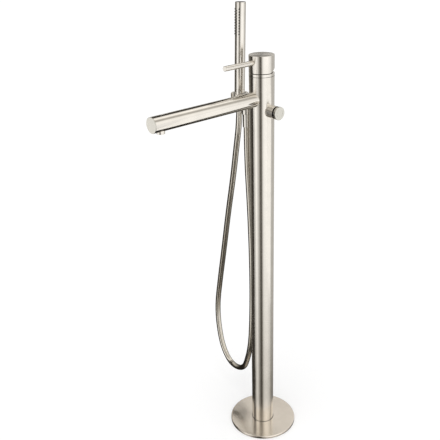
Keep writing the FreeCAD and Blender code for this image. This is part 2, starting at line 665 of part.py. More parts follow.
def spout_nipple():
    """The threaded piece that carries the water from the valve body into the spout."""
    collar_end = NIPPLE_COLLAR_START - NIPPLE_COLLAR_LENGTH
    collar_radius = SPOUT_BORE - 0.2
    nipple = fuse(ycyl(NIPPLE_RADIUS, collar_end, -15.1, 0, SPOUT_HEIGHT),
                  ycyl(collar_radius, collar_end, NIPPLE_COLLAR_START, 0, SPOUT_HEIGHT))
    nipple = nipple.cut(ycyl(NIPPLE_BORE, collar_end - 1, 0, 0, SPOUT_HEIGHT))
    for place in SPOUT_RING_PLACES:
        groove = ycyl(collar_radius + 1, place - 1.2, place + 1.2, 0, SPOUT_HEIGHT)
        groove = groove.cut(ycyl(SPOUT_BORE - 2 * SPOUT_RING - 0.1, place - 2, place + 2, 0,
                                 SPOUT_HEIGHT))
        nipple = nipple.cut(groove)
    return nipple


def spout_rings():
    radius = SPOUT_BORE - SPOUT_RING - CONTACT
    return [ring(radius, SPOUT_RING, (0, place, SPOUT_HEIGHT), V(0, 1, 0))
            for place in SPOUT_RING_PLACES]


AERATOR_BOTTOM = SPOUT_HEIGHT - SPOUT_R - AERATOR_DROP
AERATOR_TOP = AERATOR_BOTTOM + AERATOR_HEIGHT


def aerator_sleeve():
    sleeve = tube(AERATOR_RADIUS, AERATOR_RADIUS - 1, AERATOR_BOTTOM, AERATOR_TOP, 0, AERATOR_Y)
    return round_edges(sleeve, 0.3, circle_at(AERATOR_RADIUS, V(0, 0, 1), AERATOR_BOTTOM))


def aerator_insert():
    """A plastic stream former with nineteen small holes."""
    low, high = AERATOR_BOTTOM + 1.2, AERATOR_TOP - 2.1
    insert = cyl(AERATOR_RADIUS - 1.1, low, high, 0, AERATOR_Y)
    holes = [cyl(0.9, low - 1, high + 1, 0, AERATOR_Y)]
    for count, radius in ((6, 2.6), (12, 5.2)):
        for k in range(count):
            angle = 2 * math.pi * k / count
            x = radius * math.cos(angle)
            y = radius * math.sin(angle)
            holes.append(cyl(0.9, low - 1, high + 1, x, AERATOR_Y + y))
    return insert.cut(Part.makeCompound(holes))


def aerator_washer():
    return tube(AERATOR_RADIUS - 1.1, 5.0, AERATOR_TOP - 2, AERATOR_TOP, 0, AERATOR_Y)


# ---- Diverter -------------------------------------------------------------------------------

BONNET_START = 16.1
BONNET_END = COLLAR_END - 1.3
SPRING_START = 14.2
SPRING_SOLID = 2 * SPRING_WIRE * (SPRING_TURNS + 1)
SPRING_END = SPRING_START + SPRING_SOLID + DIVERTER_TRAVEL + SPRING_SPARE
POCKET_RADIUS = 6.2
STUFFING_START = 36.0
STUFFING_END = 39.0


def diverter_bonnet():
    bonnet = xcyl(BONNET_RADIUS, BONNET_START, BONNET_END, 0, DIVERTER_HEIGHT)
    return cut(bonnet,
               xcyl(POCKET_RADIUS, BONNET_START - 1, SPRING_END + 0.2, 0, DIVERTER_HEIGHT),
               xcyl(SPINDLE_RADIUS + RUNNING, BONNET_START, BONNET_END + 1, 0, DIVERTER_HEIGHT),
               xcyl(4.2, STUFFING_START, STUFFING_END, 0, DIVERTER_HEIGHT))


def diverter_rings():
    """Two small O-rings round the spindle."""
    section = 0.5
    radius = SPINDLE_RADIUS + 0.12 + section
    places = (STUFFING_START + 0.8, STUFFING_END - 0.8)
    return [ring(radius, section, (x, 0, DIVERTER_HEIGHT), V(1, 0, 0)) for x in places]


def diverter_collar():
    collar = xcyl(COLLAR_RADIUS, 0, COLLAR_END, 0, DIVERTER_HEIGHT)
    collar = round_edges(collar, 0.5, circle_at(COLLAR_RADIUS, V(1, 0, 0), COLLAR_END))
    column = cyl(SADDLE, DIVERTER_HEIGHT - 30, DIVERTER_HEIGHT + 30)
    return cut(collar, column,
               xcyl(BONNET_RADIUS + 0.1, 0, BONNET_END + 0.1, 0, DIVERTER_HEIGHT),
               xcyl(SPINDLE_RADIUS + 0.5, 0, COLLAR_END + 1, 0, DIVERTER_HEIGHT))


def diverter_spindle():
    tip = SEAT_X + 2.3
    return fuse(xcyl(SPINDLE_RADIUS, tip, KNOB_END - 1.5, 0, DIVERTER_HEIGHT),
                xcyl(POCKET_RADIUS - 0.4, tip, tip + 2, 0, DIVERTER_HEIGHT),
                xcyl(POCKET_RADIUS - 0.4, SPRING_START - 2.2, SPRING_START - 0.2, 0,
                     DIVERTER_HEIGHT))


def diverter_washer():
    return xcyl(POCKET_RADIUS - 0.2, SEAT_X + 0.3, SEAT_X + 2.3, 0, DIVERTER_HEIGHT)


def diverter_spring():
    """A compression spring of round wire round the spindle."""
    length = SPRING_END - SPRING_START - 2 * SPRING_WIRE
    helix = Part.makeHelix(length / SPRING_TURNS, length, SPRING_RADIUS)
    profile = Part.Wire([Part.makeCircle(SPRING_WIRE, V(SPRING_RADIUS, 0, 0), V(0, 1, 0))])
    spring = Part.Wire(helix.Edges).makePipeShell([profile], True, True)
    spring.rotate(V(0, 0, 0), V(0, 1, 0), 90)
    spring.translate(V(SPRING_START + SPRING_WIRE, 0, DIVERTER_HEIGHT))
    return spring


def diverter_knob():
    knob = xcyl(KNOB_RADIUS, KNOB_START, KNOB_END, 0, DIVERTER_HEIGHT)
    for end in (KNOB_START, KNOB_END):
        knob = round_edges(knob, 0.6, circle_at(KNOB_RADIUS, V(1, 0, 0), end))
    line = xcyl(8.6, KNOB_END - 0.25, KNOB_END + 1, 0, DIVERTER_HEIGHT)
    line = line.cut(xcyl(8.1, KNOB_END - 1, KNOB_END + 2, 0, DIVERTER_HEIGHT))
    return cut(knob, line,
               xcyl(SPINDLE_RADIUS + CONTACT, KNOB_START - 1, KNOB_END - 1.4, 0, DIVERTER_HEIGHT),
               cyl(KNOB_SCREW_RADIUS + CONTACT, DIVERTER_HEIGHT - KNOB_RADIUS - 1,
                   DIVERTER_HEIGHT, KNOB_SCREW_X))


def knob_screw():
    low = DIVERTER_HEIGHT - KNOB_RADIUS + 0.8
    high = DIVERTER_HEIGHT - SPINDLE_RADIUS - 0.1
    screw = cyl(KNOB_SCREW_RADIUS, low, high, KNOB_SCREW_X)
    return screw.cut(cyl(0.65, low - 1, low + 2, KNOB_SCREW_X))


# ---- Holder ---------------------------------------------------------------------------------

def arm_nipple():
    nipple = xcyl(ARM_NIPPLE_RADIUS, -36.5, -17.2, 0, ARM_HEIGHT)
    return nipple.cut(xcyl(4, -40, -10, 0, ARM_HEIGHT))


def holder_arm():
    bar = xcyl(ARM_RADIUS, CRADLE_X + 8, 0, 0, ARM_HEIGHT)
    boss = cyl(ARM_RADIUS, OUTLET_BOTTOM, ARM_HEIGHT, OUTLET_X, OUTLET_Y)
    arm = fuse(bar, boss)
    cradle = cyl(CRADLE_RADIUS + CONTACT, CRADLE_BOTTOM, CRADLE_TOP + 5, CRADLE_X)
    nut_room = cyl(CRADLE_BORE, OUTLET_BOTTOM - 5, CRADLE_TOP, CRADLE_X)
    column = cyl(SADDLE, ARM_HEIGHT - 30, ARM_HEIGHT + 30)
    return cut(arm, column, cradle, nut_room,
               xcyl(ARM_NIPPLE_RADIUS + CONTACT, -37, -20, 0, ARM_HEIGHT),
               xcyl(4, OUTLET_X, -30, 0, ARM_HEIGHT),
               cyl(4, OUTLET_BOTTOM, ARM_HEIGHT, OUTLET_X, OUTLET_Y),
               cyl(OUTLET_SPIGOT_RADIUS + CONTACT, OUTLET_BOTTOM - 1, OUTLET_SPIGOT_TOP + 0.1,
                   OUTLET_X, OUTLET_Y))


def in_cradle(shape):
    """Moves a shape built round the Z axis, from the cradle's top up, to its leaning place."""
    shape.rotate(V(0, 0, 0), V(1, 0, 0), -HANDSET_TILT)
    shape.translate(V(CRADLE_X, 0, CRADLE_TOP))
    return shape


def cone_radius(height):
    """The cone nut's outer radius at a height along the hand shower."""
    share = (height - CONE_BOTTOM) / (CONE_TOP - CONE_BOTTOM)
    return CONE_BOTTOM_RADIUS + share * (HANDSET_RADIUS - CONE_BOTTOM_RADIUS)


def cradle_slot():
    half = CRADLE_SLOT / 2
    return box(CRADLE_X - half, CRADLE_X + half, -CRADLE_RADIUS - 5, 0, CRADLE_BOTTOM - 5,
               CRADLE_TOP + 5)


def cradle_ring():
    body = cyl(CRADLE_RADIUS, CRADLE_BOTTOM, CRADLE_TOP, CRADLE_X)
    for end in (CRADLE_BOTTOM, CRADLE_TOP):
        body = round_edges(body, 0.8, circle_at(CRADLE_RADIUS, V(0, 0, 1), end))
    return cut(body, cyl(CRADLE_BORE, CRADLE_BOTTOM + 2, CRADLE_TOP + 1, CRADLE_X),
               cyl(CRADLE_BORE - CRADLE_LIP, CRADLE_BOTTOM - 1, CRADLE_TOP, CRADLE_X), cradle_slot())


def cradle_liner():
    """The plastic liner that the cone nut rests in."""
    liner = cyl(CRADLE_BORE - CONTACT, CRADLE_BOTTOM + 2.05, CRADLE_TOP + 0.4, CRADLE_X)
    low, high = -25.0, 5.0
    seat = in_cradle(cone(cone_radius(low) + SOFT_GAP, cone_radius(high) + SOFT_GAP, low, high))
    return cut(liner, seat, cradle_slot())


def outlet_nipple():
    bottom = NUT_BOTTOM + 4.5
    nipple = fuse(cyl(OUTLET_THREAD_RADIUS, bottom, OUTLET_BOTTOM, OUTLET_X, OUTLET_Y),
                  cyl(OUTLET_SPIGOT_RADIUS, OUTLET_BOTTOM, OUTLET_SPIGOT_TOP, OUTLET_X,
                      OUTLET_Y))
    return nipple.cut(cyl(HOSE_BORE_RADIUS, bottom - 1, OUTLET_SPIGOT_TOP + 1, OUTLET_X,
                          OUTLET_Y))


def root_hose_nut():
    top = NUT_BOTTOM + HOSE_NUT_HEIGHT
    nut = cyl(HOSE_NUT_RADIUS, NUT_BOTTOM, top, OUTLET_X, OUTLET_Y)
    for end in (NUT_BOTTOM, top):
        nut = round_edges(nut, 0.6, circle_at(HOSE_NUT_RADIUS, V(0, 0, 1), end))
    return cut(nut, cyl(OUTLET_THREAD_RADIUS + CONTACT, NUT_BOTTOM + 1.5, top + 1, OUTLET_X,
                        OUTLET_Y),
               cyl(FERRULE_RADIUS + 0.2, NUT_BOTTOM - 1, top, OUTLET_X, OUTLET_Y))


def root_hose_washer():
    return tube(FERRULE_FLANGE_RADIUS, HOSE_BORE_RADIUS + 0.2, NUT_BOTTOM + 3, NUT_BOTTOM + 4.5,
                OUTLET_X, OUTLET_Y)


def root_hose_ferrule():
    """The sleeve pressed on the hose's fixed end, with the flange that the nut pulls up."""
    flange = NUT_BOTTOM + 1.5
    body = cyl(FERRULE_RADIUS, FERRULE_BOTTOM, flange, OUTLET_X, OUTLET_Y)
    body = round_edges(body, 0.6, circle_at(FERRULE_RADIUS, V(0, 0, 1), FERRULE_BOTTOM))
    body = fuse(body, cyl(FERRULE_FLANGE_RADIUS, flange, flange + 1.5, OUTLET_X, OUTLET_Y))
    return body.cut(cyl(HOSE_BORE_RADIUS, FERRULE_BOTTOM + 6, flange + 2, OUTLET_X, OUTLET_Y))


# ---- Hose -----------------------------------------------------------------------------------

def rounded_path(points):
    """Straight runs joined by tangent arcs, each as large as its two runs allow."""
    edges = []
    start = V(*points[0])
    radii = []
    for k in range(1, len(points) - 1):
        before, corner, after = V(*points[k - 1]), V(*points[k]), V(*points[k + 1])
        back, ahead = before - corner, after - corner
        setback = 0.45 * min(back.Length, ahead.Length)
        turn = math.pi - back.getAngle(ahead)
        radii.append(setback / math.tan(turn / 2))
        back.normalize()
        ahead.normalize()
        first = corner + back * setback
        last = corner + ahead * setback
        inward = back + ahead
        inward.normalize()
        reach = radii[-1] / math.cos(turn / 2) - radii[-1]
        edges.append(Part.LineSegment(start, first).toShape())
        edges.append(Part.Arc(first, corner + inward * reach, last).toShape())
        start = last
    edges.append(Part.LineSegment(start, V(*points[-1])).toShape())
    return Part.Wire(edges), radii


def hose():
    path, radii = rounded_path(HOSE_ROUTE)
    start, ahead = V(*HOSE_ROUTE[0]), V(*HOSE_ROUTE[1]) - V(*HOSE_ROUTE[0])
    profile = Part.Wire([Part.makeCircle(HOSE_R, start, ahead)])
    solid = path.makePipeShell([profile], True, False)
    expected = math.pi * HOSE_R ** 2 * path.Length
    print("hose: length %.0f mm, volume %.4f of its section times its length"
          % (path.Length, solid.Volume / expected))
    print("hose radii, mm:", " ".join("%.0f" % radius for radius in radii))
    return solid


def hose_cone_nut():
    """The cone nut on the hose's free end, which rests in the cradle."""
    body = fuse(cone(CONE_BOTTOM_RADIUS, HANDSET_RADIUS, CONE_BOTTOM, CONE_TOP),
                cyl(HANDSET_RADIUS, CONE_TOP, HANDSET_BOTTOM - 0.4))
    body = cut(body, cyl(HOSE_R + SOFT_GAP, CONE_BOTTOM - 1, -0.2),
               cyl(HOSE_BORE_RADIUS, -1, 2), cyl(THREAD_RADIUS + RUNNING, 1.5, HANDSET_BOTTOM))
    return in_cradle(body)


def swivel_washer():
    return in_cradle(tube(THREAD_RADIUS - 0.1, HOSE_BORE_RADIUS, 1.55, 3.0))


# ---- Hand shower ----------------------------------------------------------------------------

HANDSET_BORE = HANDSET_RADIUS - HANDSET_WALL
CAP_START = HANDSET_TOP - 2.6
FITTING_TOP = HANDSET_BOTTOM + 14.0
WATERWAY_TOP = NOZZLE_FIRST - 12.0
VALVE_SEAT_RADIUS = 6.0   # the bore that holds the check valve and the waterway


def nozzle_spots():
    """Each nozzle's height along the hand shower and its angle from -Y, in degrees."""
    for row in range(NOZZLE_ROWS):
        for column, angle in enumerate(NOZZLE_COLUMNS):
            stagger = NOZZLE_PITCH / 2 if column == 1 else 0
            yield NOZZLE_FIRST + row * NOZZLE_PITCH - stagger, angle


def nozzle_pins(radius, inner, outer):
    pins = []
    for height, angle in nozzle_spots():
        a = math.radians(angle - 90)
        direction = V(math.cos(a), math.sin(a), 0)
        start = direction * inner + V(0, 0, height)
        pins.append(Part.makeCylinder(radius, outer - inner, start, direction))
    return pins


def handset_tube():
    body = tube(HANDSET_RADIUS, HANDSET_BORE, HANDSET_BOTTOM, CAP_START - 0.3)
    pins = nozzle_pins(NOZZLE_RADIUS + 0.1, HANDSET_BORE - 1, HANDSET_RADIUS + 1)
    return in_cradle(body.cut(Part.makeCompound(pins)))


def nozzle_strip():
    """The rubber strip behind the tube's wall, with the thirty nozzles that stand out of it."""
    low = NOZZLE_FIRST - NOZZLE_PITCH
    high = NOZZLE_FIRST + (NOZZLE_ROWS - 0.5) * NOZZLE_PITCH
    strip = tube(HANDSET_BORE - CONTACT, HANDSET_BORE - 1.2, low, high)
    half = math.radians(50)
    reach = 2 * HANDSET_RADIUS
    wedge = Part.makePolygon([V(0, 0, low - 1),
                              V(-reach * math.sin(half), -reach * math.cos(half), low - 1),
                              V(0, -3 * reach, low - 1),
                              V(reach * math.sin(half), -reach * math.cos(half), low - 1),
                              V(0, 0, low - 1)])
    strip = strip.common(Part.Face(wedge).extrude(V(0, 0, high - low + 2)))
    strip = strip.fuse(nozzle_pins(NOZZLE_RADIUS, HANDSET_BORE - 0.8,
                                   HANDSET_RADIUS + NOZZLE_PROUD))
    return in_cradle(strip.removeSplitter())


def handset_cap():
    cap = cyl(HANDSET_RADIUS, CAP_START, HANDSET_TOP)
    cap = round_edges(cap, 0.5, circle_at(HANDSET_RADIUS, V(0, 0, 1), HANDSET_TOP))
    spigot = tube(HANDSET_BORE - CONTACT, HANDSET_BORE - 2, CAP_START - 6, CAP_START + 1)
    return in_cradle(cap.fuse(spigot).removeSplitter())


def handset_fitting():
    """The brass end of the hand shower: its thread turns in the cone nut."""
    fitting = fuse(cyl(THREAD_RADIUS, 3.1, HANDSET_BOTTOM),
                   cyl(HANDSET_BORE - CONTACT, HANDSET_BOTTOM, FITTING_TOP))
    return in_cradle(cut(fitting, cyl(VALVE_SEAT_RADIUS, 5.5, FITTING_TOP + 1),
                         cyl(4.5, 2, FITTING_TOP)))


def handset_check_valve():
    return in_cradle(tube(VALVE_SEAT_RADIUS - CONTACT, 3.2, 5.6, HANDSET_BOTTOM + 6))


def handset_waterway():
    return in_cradle(tube(VALVE_SEAT_RADIUS - CONTACT, 4.8, HANDSET_BOTTOM + 6.1, WATERWAY_TOP))


# ---- Build ----------------------------------------------------------------------------------

def build():
    os.makedirs("parts", exist_ok=True)
    save("floor_flange", floor_flange())
    save("column_boss", column_boss())
    save("base_cover", base_cover())
    save("cover_seal", cover_seal())
    save("column_tube", column_tube())
    save("column_set_screws", *set_screws())
    save("hot_inlet", inlet_connector(-1))
    save("cold_inlet", inlet_connector(1))
    save("supply_pipes", *supply_pipes())
    save("pipe_nuts", *pipe_nuts())
    save("valve_body", valve_body())
    save("valve_body_rings", *body_rings())
    save("cartridge_base", cartridge_base())
    save("cartridge_seals", *cartridge_seals())
    save("fixed_disc", fixed_disc())
    save("moving_disc", moving_disc())
    save("disc_driver", disc_driver())
    save("cartridge_housing", cartridge_housing())
    save("cartridge_carrier", cartridge_carrier())
    save("stem_axle", stem_axle())
    save("cartridge_stem", cartridge_stem())
    save("retaining_nut", retaining_nut())
    save("trim_ring", trim_ring())
    save("dome_cover", dome_cover())
    save("handle_cap", handle_cap())
    save("lever_rod", lever_rod())
    save("handle_grub_screw", handle_grub_screw())
    save("handle_plug", handle_plug())
    save("spout_tube", spout_tube())
    save("spout_end", spout_end())
    save("spout_nipple", spout_nipple())
    save("spout_rings", *spout_rings())
    save("aerator_sleeve", aerator_sleeve())
    save("aerator_insert", aerator_insert())
    save("aerator_washer", aerator_washer())
    save("diverter_bonnet", diverter_bonnet())
    save("diverter_rings", *diverter_rings())
    save("diverter_collar", diverter_collar())
    save("diverter_spindle", diverter_spindle())
    save("diverter_washer", diverter_washer())
    save("diverter_spring", diverter_spring())
    save("diverter_knob", diverter_knob())
    save("knob_screw", knob_screw())
    save("arm_nipple", arm_nipple())
    save("holder_arm", holder_arm())
    save("cradle_ring", cradle_ring())
    save("cradle_liner", cradle_liner())
    save("outlet_nipple", outlet_nipple())
    save("root_hose_nut", root_hose_nut())
    save("root_hose_washer", root_hose_washer())
    save("root_hose_ferrule", root_hose_ferrule())
    save("hose", hose())
    save("hose_cone_nut", hose_cone_nut())
    save("swivel_washer", swivel_washer())
    save("handset_tube", handset_tube())
    save("nozzle_strip", nozzle_strip())
    save("handset_cap", handset_cap())
    save("handset_fitting", handset_fitting())
    save("handset_check_valve", handset_check_valve())
    save("handset_waterway", handset_waterway())


build()
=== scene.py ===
"""Looks of the floor standing bath filler: brushed nickel, a metal-effect hose and a white studio.

Metres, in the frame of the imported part: +Z up, the origin on the floor at the column's axis.
"""
import json
import math

import bmesh
import bpy
from mathutils import Matrix, Vector


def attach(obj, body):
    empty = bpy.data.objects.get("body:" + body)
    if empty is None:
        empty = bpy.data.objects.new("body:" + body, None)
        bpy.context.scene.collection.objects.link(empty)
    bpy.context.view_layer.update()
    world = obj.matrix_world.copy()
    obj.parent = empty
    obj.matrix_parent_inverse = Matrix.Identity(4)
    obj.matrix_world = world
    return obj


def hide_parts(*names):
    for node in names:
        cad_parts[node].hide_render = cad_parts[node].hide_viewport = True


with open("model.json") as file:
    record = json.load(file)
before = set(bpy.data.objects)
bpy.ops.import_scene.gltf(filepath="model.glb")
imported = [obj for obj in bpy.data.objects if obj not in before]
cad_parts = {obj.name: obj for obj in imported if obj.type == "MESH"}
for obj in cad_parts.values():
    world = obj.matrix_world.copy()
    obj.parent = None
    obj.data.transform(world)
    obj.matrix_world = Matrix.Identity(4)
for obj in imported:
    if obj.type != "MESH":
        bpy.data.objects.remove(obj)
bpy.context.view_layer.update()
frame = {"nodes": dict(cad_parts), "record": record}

# ---- Camera: where the photograph was taken from ---------------------------------------------

CAMERA_PLACE = (1.021100, -0.963246, 1.213672)
CAMERA_RIGHT = (0.64461489, 0.76396163, -0.02888394)
CAMERA_UP = (-0.30098531, 0.28833251, 0.90899516)
CAMERA_LENS_MM = 55.13
CAMERA_SENSOR_MM = 36.0
CAMERA_SEES_FROM, CAMERA_SEES_TO = 0.01, 200.0


def set_up_camera():
    lens = bpy.data.cameras.new("studio_camera")
    lens.lens = CAMERA_LENS_MM
    lens.sensor_width = CAMERA_SENSOR_MM
    lens.clip_start = CAMERA_SEES_FROM
    lens.clip_end = CAMERA_SEES_TO
    camera = bpy.data.objects.new("studio_camera", lens)
    bpy.context.scene.collection.objects.link(camera)
    right, up = Vector(CAMERA_RIGHT).normalized(), Vector(CAMERA_UP).normalized()
    back = right.cross(up)
    turn = Matrix((right, up, back)).transposed().to_4x4()
    camera.matrix_world = Matrix.Translation(CAMERA_PLACE) @ turn
    bpy.context.scene.camera = camera


set_up_camera()

# ---- Hose -------------------------------------------------------------------------------------

# From the ferrule down the inner strand, round the bend, and up the outer strand into the nut.
HOSE_ROUTE = [
    (-0.045, -0.003, 0.782), (-0.045, -0.003, 0.704), (-0.044, 0.002, 0.604),
    (-0.043, 0.005, 0.502), (-0.043, 0.007, 0.392), (-0.045, 0.007, 0.289),
    (-0.050, 0.007, 0.208), (-0.062, 0.008, 0.155), (-0.085, 0.011, 0.0995),
    (-0.1375, 0.014, 0.085), (-0.1765, 0.017, 0.120), (-0.193, 0.018, 0.186),
    (-0.1948, 0.018, 0.253), (-0.179, 0.017, 0.334), (-0.154, 0.014, 0.443),
    (-0.130, 0.010, 0.548), (-0.105, 0.006, 0.644), (-0.085, 0.001, 0.727),
    (-0.070, -0.0022, 0.790), (-0.070, 0.0, 0.8525),
]
HOSE_RADIUS = 0.007


def hang_hose():
    """The hose as one round line; each point carries the radius, so the bevel is 1."""
    line = bpy.data.curves.new("shower_hose", "CURVE")
    line.dimensions = "3D"
    spline = line.splines.new("NURBS")
    spline.points.add(len(HOSE_ROUTE) - 1)
    for point, place in zip(spline.points, HOSE_ROUTE):
        point.co = (*place, 1.0)
        point.radius = HOSE_RADIUS
    spline.order_u = 3
    spline.use_endpoint_u = True
    spline.resolution_u = 16
    line.bevel_depth = 1.0
    line.bevel_resolution = 7
    line.use_fill_caps = True
    hose = bpy.data.objects.new("shower_hose", line)
    bpy.context.scene.collection.objects.link(hose)
    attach(hose, "root")
    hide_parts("hose")
    return hose


shower_hose = hang_hose()

# ---- Shared effects ---------------------------------------------------------------------------


def new_group(name, takes, gives):
    """A shader node group: takes lists (name, kind, default) and gives lists (name, kind)."""
    group = bpy.data.node_groups.new(name, "ShaderNodeTree")
    for label, kind, value in takes:
        socket = group.interface.new_socket(label, in_out="INPUT", socket_type=kind)
        if value is not None:
            socket.default_value = value
    for label, kind in gives:
        group.interface.new_socket(label, in_out="OUTPUT", socket_type=kind)
    start = group.nodes.new("NodeGroupInput")
    end = group.nodes.new("NodeGroupOutput")
    return group, start, end


def feed(tree, node, *values):
    """Fills a node's sockets in order: numbers are set on them, and sockets are linked."""
    for socket, value in zip(node.inputs, values):
        if isinstance(value, (int, float)):
            socket.default_value = value
        else:
            tree.links.new(value, socket)


def maths(tree, operation, *values):
    node = tree.nodes.new("ShaderNodeMath")
    node.operation = operation
    feed(tree, node, *values)
    return node.outputs[0]


def spread(tree, value, low, high, to_low, to_high, smooth=True):
    """Maps a value from one range to another, held at the ends."""
    node = tree.nodes.new("ShaderNodeMapRange")
    node.interpolation_type = "SMOOTHSTEP" if smooth else "LINEAR"
    tree.links.new(value, node.inputs["Value"])
    for label, number in (("From Min", low), ("From Max", high), ("To Min", to_low),
                          ("To Max", to_high)):
        node.inputs[label].default_value = number
    return node.outputs["Result"]


def clouds(tree, vector, scale, detail, roughness=0.5):
    """Noise from 0 to 1. The scale is the number of blotches in one unit of the vector."""
    node = tree.nodes.new("ShaderNodeTexNoise")
    tree.links.new(vector, node.inputs["Vector"])
    node.inputs["Scale"].default_value = scale
    node.inputs["Detail"].default_value = detail
    node.inputs["Roughness"].default_value = roughness
    return node.outputs["Fac"]


LINES_ROUND_THE_GIRTH = 22.0
HAND_MARKS_PER_METRE = 34.0
RUBBED_FROM, RUBBED_FULLY = 0.985, 0.86


def make_turned_grain():
    """Fine lines that run round an axis, as a brushing wheel leaves them, and faint hand marks.

    Round a tube they follow its girth, and on an end face they are circles.
    """
    group, start, end = new_group(
        "turned_grain",
        [("Vector", "NodeSocketVector", None), ("Lines", "NodeSocketFloat", 1500.0)],
        [("Grain", "NodeSocketFloat"), ("Marks", "NodeSocketFloat")])
    split = group.nodes.new("ShaderNodeSeparateXYZ")
    group.links.new(start.outputs["Vector"], split.inputs[0])
    x, y, z = split.outputs
    radius = maths(group, "SQRT", maths(group, "ADD", maths(group, "MULTIPLY", x, x),
                                        maths(group, "MULTIPLY", y, y)))
    across = maths(group, "MULTIPLY", maths(group, "ADD", z, radius), start.outputs["Lines"])
    lines = group.nodes.new("ShaderNodeCombineXYZ")
    feed(group, lines, maths(group, "MULTIPLY", x, LINES_ROUND_THE_GIRTH),
         maths(group, "MULTIPLY", y, LINES_ROUND_THE_GIRTH), across)
    fine = clouds(group, lines.outputs[0], scale=1.0, detail=3.0, roughness=0.6)
    group.links.new(fine, end.inputs["Grain"])
    marks = clouds(group, start.outputs["Vector"], scale=HAND_MARKS_PER_METRE, detail=3.0,
                   roughness=0.55)
    group.links.new(marks, end.inputs["Marks"])
    return group


def make_rubbed_edge():
    """A mask of the edges that hands and cloths have polished: 0 on open faces, 1 on an edge."""
    group, start, end = new_group(
        "rubbed_edge", [("Width", "NodeSocketFloat", 0.0008)], [("Edge", "NodeSocketFloat")])
    rounded = group.nodes.new("ShaderNodeBevel")
    rounded.samples = 4
    group.links.new(start.outputs["Width"], rounded.inputs["Radius"])
    flat = group.nodes.new("ShaderNodeNewGeometry")
    facing = group.nodes.new("ShaderNodeVectorMath")
    facing.operation = "DOT_PRODUCT"
    group.links.new(rounded.outputs["Normal"], facing.inputs[0])
    group.links.new(flat.outputs["Normal"], facing.inputs[1])
    rubbed = spread(group, facing.outputs["Value"], RUBBED_FROM, RUBBED_FULLY, 0.0, 1.0)
    group.links.new(rubbed, end.inputs["Edge"])
    return group


TURNED_GRAIN = make_turned_grain()
RUBBED_EDGE = make_rubbed_edge()

# ---- Finishes ---------------------------------------------------------------------------------

AXIS_TURN = {"X": (0.0, math.pi / 2, 0.0), "Y": (-math.pi / 2, 0.0, 0.0), "Z": (0.0, 0.0, 0.0)}

# The parts of the noise's range over which the metal's tones, its polish and other skins change.
TONE_NOISE = (0.38, 0.62)
POLISH_NOISE = (0.3, 0.7)
SKIN_NOISE = (0.35, 0.65)


def new_material(name):
    material = bpy.data.materials.new(name)
    material.use_nodes = True
    tree = material.node_tree
    surface = tree.nodes["Principled BSDF"]
    return material, tree, surface


def along_axis(tree, axis, centre):
    """Object coordinates with the piece's own axis laid along Z through the origin."""
    place = tree.nodes.new("ShaderNodeTexCoord")
    lay = tree.nodes.new("ShaderNodeMapping")
    lay.vector_type = "TEXTURE"
    lay.inputs["Location"].default_value = centre
    lay.inputs["Rotation"].default_value = AXIS_TURN[axis]
    tree.links.new(place.outputs["Object"], lay.inputs["Vector"])
    return lay.outputs["Vector"]


def two_colours(tree, share, first, second):
    """The first colour where the share is 0 and the second where it is 1."""
    mix = tree.nodes.new("ShaderNodeMix")
    mix.data_type = "RGBA"
    tree.links.new(share, mix.inputs["Factor"])
    for label, colour in (("A", first), ("B", second)):
        socket = next(s for s in mix.inputs if s.name == label and s.type == "RGBA")
        if isinstance(colour, tuple):
            socket.default_value = (*colour, 1.0)
        else:
            tree.links.new(colour, socket)
    return next(s for s in mix.outputs if s.type == "RGBA")


def bump(tree, height, surface, distance, strength):
    node = tree.nodes.new("ShaderNodeBump")
    node.inputs["Strength"].default_value = strength
    node.inputs["Distance"].default_value = distance
    tree.links.new(height, node.inputs["Height"])
    tree.links.new(node.outputs["Normal"], surface.inputs["Normal"])


MARKS_DULL_TO = 0.955
EDGES_BRIGHTEN_TO, BRIGHTEST = 1.06, 0.98
EDGE_SHARE = 0.8
EDGES_SMOOTHER_BY = 0.25
MARKS_POLISH = (0.92, 1.1)
GRAIN_POLISH = (-0.015, 0.02)
# Painted shade for narrow gaps: a near-black colour put in place of the shadow inside them, where
# the metal is also made rougher.
GAP_PAINTED_SHADE_TONE = (0.012, 0.011, 0.009)
RECESS_ROUGHER_BY = 0.35
RECESS_BORDER = 0.0003
SHINE_TURN = 0.25


